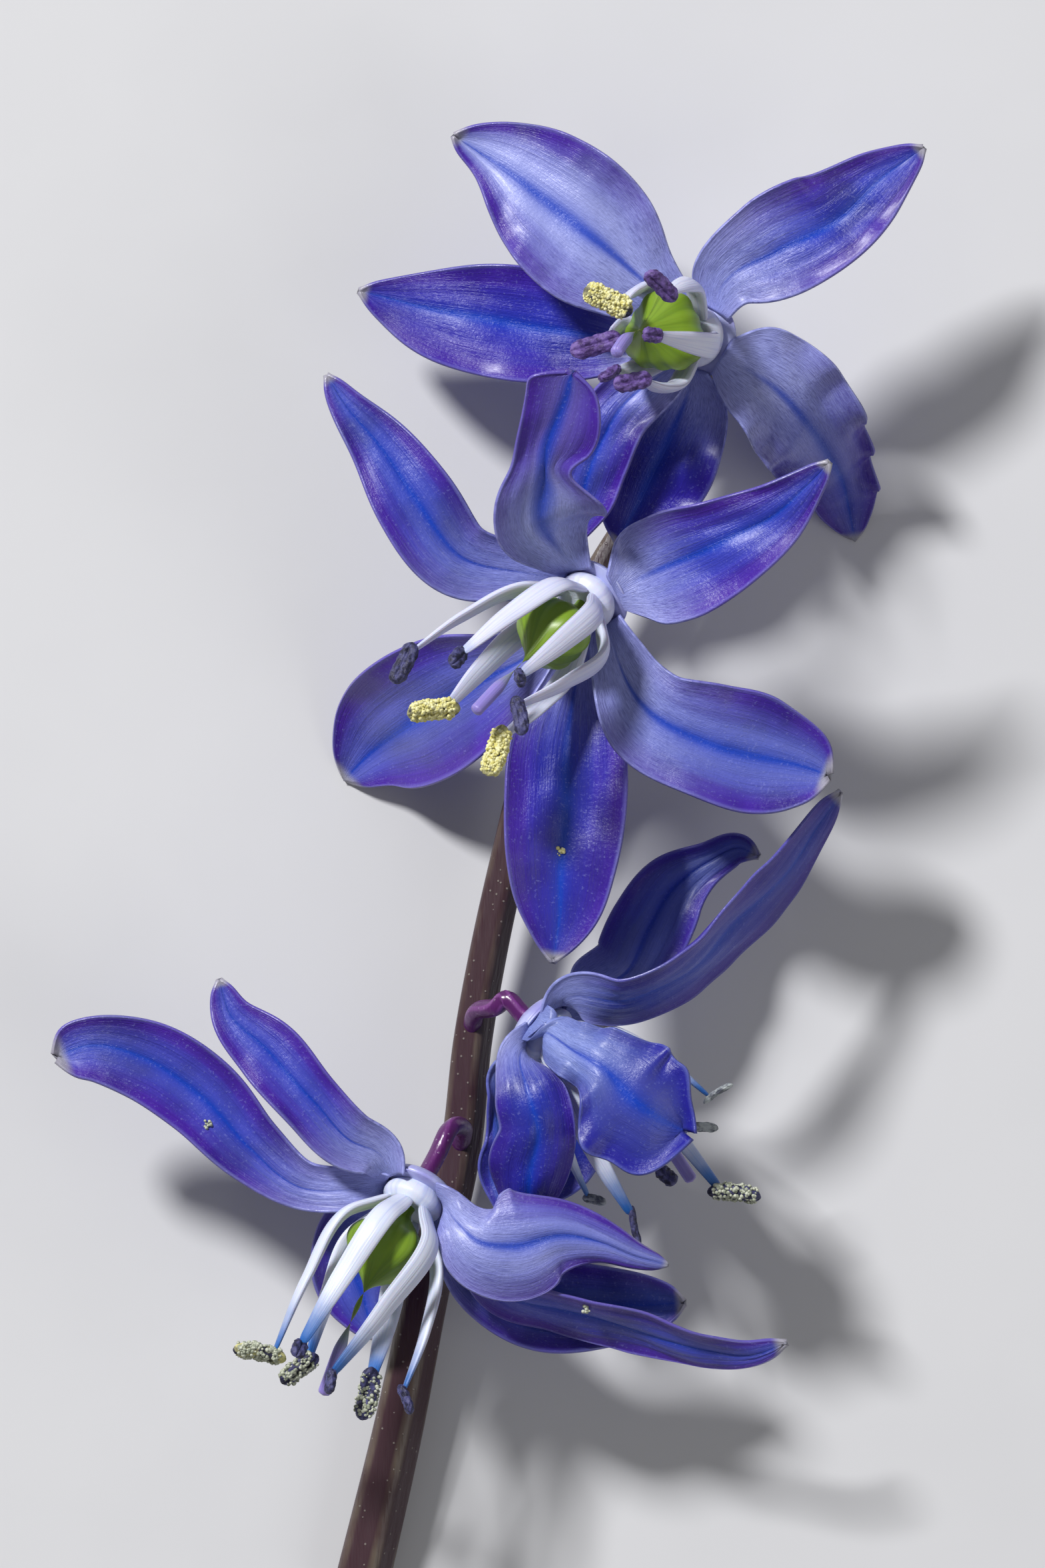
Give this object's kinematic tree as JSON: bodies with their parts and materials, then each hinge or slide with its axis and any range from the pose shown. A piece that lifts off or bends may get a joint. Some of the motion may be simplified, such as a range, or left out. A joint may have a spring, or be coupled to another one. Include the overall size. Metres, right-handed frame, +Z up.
{
  "type": "siberian squill",
  "caption": "Picked flowering stem of a Siberian squill lying on its side, with open star-shaped violet-blue flowers, white stamens and green ovaries.",
  "frame": {"origin": "on the surface that the plant lies on, under the middle of its bounding box", "axes": "+Y runs along the stem from the cut end towards the top flower, +Z is up from the surface and is the side that the picture shows, +X is to the right as the picture shows it"},
  "size_m": [0.0406, 0.0686, 0.0187],
  "materials": {
    "tepal": "velvety petal, violet blue with a blue midvein",
    "stamen": "smooth, lilac white with dark anthers",
    "pistil": "smooth, moist green with a violet style",
    "stem": "smooth ridged stem, purple brown"
  },
  "bodies": {
    "root": {"stem": "stem", "flower1_tepals": "tepal", "flower1_stamens": "stamen", "flower1_pistil": "pistil", "flower2_tepals": "tepal", "flower2_stamens": "stamen", "flower2_pistil": "pistil", "flower3_tepals": "tepal", "flower3_stamens": "stamen", "flower3_pistil": "pistil", "flower4_tepals": "tepal", "flower4_stamens": "stamen", "flower4_pistil": "pistil"}
  },
  "joints": []
}
